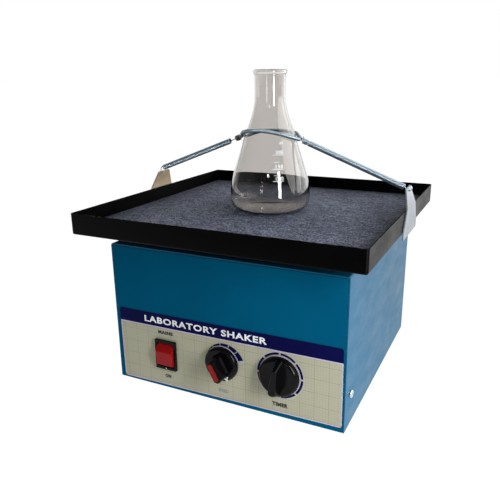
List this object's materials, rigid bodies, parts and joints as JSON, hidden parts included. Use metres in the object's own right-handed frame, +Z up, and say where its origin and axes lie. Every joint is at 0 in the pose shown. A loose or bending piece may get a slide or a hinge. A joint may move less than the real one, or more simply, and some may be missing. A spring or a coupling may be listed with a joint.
{
  "type": "platform shaker",
  "caption": "Orbital platform shaker: a square rimmed tray with a rubber mat circles on a crank above a sheet-metal housing, and a conical flask is held on it by springs.",
  "frame": {"origin": "on the bench, under the middle of the tray in its rest position", "axes": "+Z up, +X to the operator's right, -Y towards the operator and the control panel"},
  "size_m": [0.3036, 0.3, 0.3327],
  "materials": {
    "paint": "smooth satin enamel",
    "tray_paint": "satin black powder coat",
    "rubber_mat": "matte, fine speckle",
    "rubber": "matte moulded",
    "black_plastic": "semi-gloss moulded",
    "red_plastic": "semi-gloss moulded",
    "white_plastic": "matte moulded",
    "print": "printed polyester film, satin",
    "steel": "bright drawn",
    "dark_steel": "oiled, machined",
    "zinc_steel": "zinc plated, dull",
    "cast": "cast, bead blasted",
    "circuit_board": "solder mask",
    "glass": "clear, polished"
  },
  "bodies": {
    "base": {"chassis": "paint", "cover": "paint", "cover_screw_left": "steel", "cover_screw_right": "steel", "cover_screw_rear_left": "steel", "cover_screw_rear_right": "steel", "foot_1": "rubber", "foot_2": "rubber", "foot_3": "rubber", "foot_4": "rubber", "front_overlay": "print", "switch_bezel": "black_plastic", "speed_pot": "zinc_steel", "pot_nut": "steel", "timer_body": "white_plastic", "mains_inlet": "black_plastic", "fuse_holder": "black_plastic", "fuse_cap": "black_plastic", "control_board": "circuit_board", "deck_rail_left": "zinc_steel", "deck_rail_right": "zinc_steel", "deck_plate": "zinc_steel", "main_bearing_housing": "cast", "main_bearing_lower": "steel", "main_bearing_upper": "steel", "belt": "rubber", "motor": "dark_steel", "idler_housing_1": "cast", "idler_housing_2": "cast", "idler_housing_3": "cast", "idler_housing_4": "cast"},
    "power_rocker": {"rocker": "red_plastic"},
    "speed_control": {"speed_knob": "black_plastic", "speed_pointer": "red_plastic"},
    "timer_control": {"timer_knob": "black_plastic"},
    "motor_drive": {"motor_shaft": "steel", "motor_pulley": "cast"},
    "crank": {"crankshaft": "dark_steel", "drive_pulley": "cast"},
    "idler_1": {"idler_crank_1": "dark_steel"},
    "idler_2": {"idler_crank_2": "dark_steel"},
    "idler_3": {"idler_crank_3": "dark_steel"},
    "idler_4": {"idler_crank_4": "dark_steel"},
    "platform": {"platform_bearing": "steel", "platform_carrier": "zinc_steel", "tray_screw_1": "steel", "tray_screw_2": "steel", "tray_screw_3": "steel", "tray_screw_4": "steel", "tray": "tray_paint", "mat": "rubber_mat", "left_bracket": "zinc_steel", "right_bracket": "zinc_steel", "left_spring": "steel", "right_spring": "steel", "left_knot": "steel", "right_knot": "steel", "loop_front": "steel", "loop_back": "steel", "flask": "glass"}
  },
  "joints": [
    {"name": "crank_turn", "type": "hinge", "parent": "base", "child": "crank", "pos_m": [0, 0.0095, 0.12], "axis": [0, 0, 1], "continuous": true},
    {"name": "platform_turn", "type": "hinge", "parent": "crank", "child": "platform", "pos_m": [0, 0, 0.17], "axis": [0, 0, 1], "continuous": true},
    {"name": "idler_turn_1", "type": "hinge", "parent": "base", "child": "idler_1", "pos_m": [-0.085, -0.0755, 0.14], "axis": [0, 0, 1], "continuous": true},
    {"name": "idler_turn_2", "type": "hinge", "parent": "base", "child": "idler_2", "pos_m": [0.085, -0.0755, 0.14], "axis": [0, 0, 1], "continuous": true},
    {"name": "idler_turn_3", "type": "hinge", "parent": "base", "child": "idler_3", "pos_m": [-0.085, 0.0945, 0.14], "axis": [0, 0, 1], "continuous": true},
    {"name": "idler_turn_4", "type": "hinge", "parent": "base", "child": "idler_4", "pos_m": [0.085, 0.0945, 0.14], "axis": [0, 0, 1], "continuous": true},
    {"name": "motor_turn", "type": "hinge", "parent": "base", "child": "motor_drive", "pos_m": [0.075, 0.0595, 0.09], "axis": [0, 0, 1], "continuous": true},
    {"name": "rocker_tilt", "type": "hinge", "parent": "base", "child": "power_rocker", "pos_m": [-0.0652, -0.1175, 0.0474], "axis": [1, 0, 0], "range_deg": [0, 24]},
    {"name": "speed_knob_turn", "type": "hinge", "parent": "base", "child": "speed_control", "pos_m": [0.0016, -0.13, 0.0528], "axis": [0, 1, 0], "range_deg": [-300, 0]},
    {"name": "timer_knob_turn", "type": "hinge", "parent": "base", "child": "timer_control", "pos_m": [0.0636, -0.13, 0.0534], "axis": [0, 1, 0], "range_deg": [0, 330]}
  ],
  "couplings": [
    {"joint": "platform_turn", "follows": "crank_turn", "ratio": -1},
    {"joint": "idler_turn_1", "follows": "crank_turn", "ratio": 1},
    {"joint": "idler_turn_2", "follows": "crank_turn", "ratio": 1},
    {"joint": "idler_turn_3", "follows": "crank_turn", "ratio": 1},
    {"joint": "idler_turn_4", "follows": "crank_turn", "ratio": 1},
    {"joint": "motor_turn", "follows": "crank_turn", "ratio": 3.75}
  ]
}
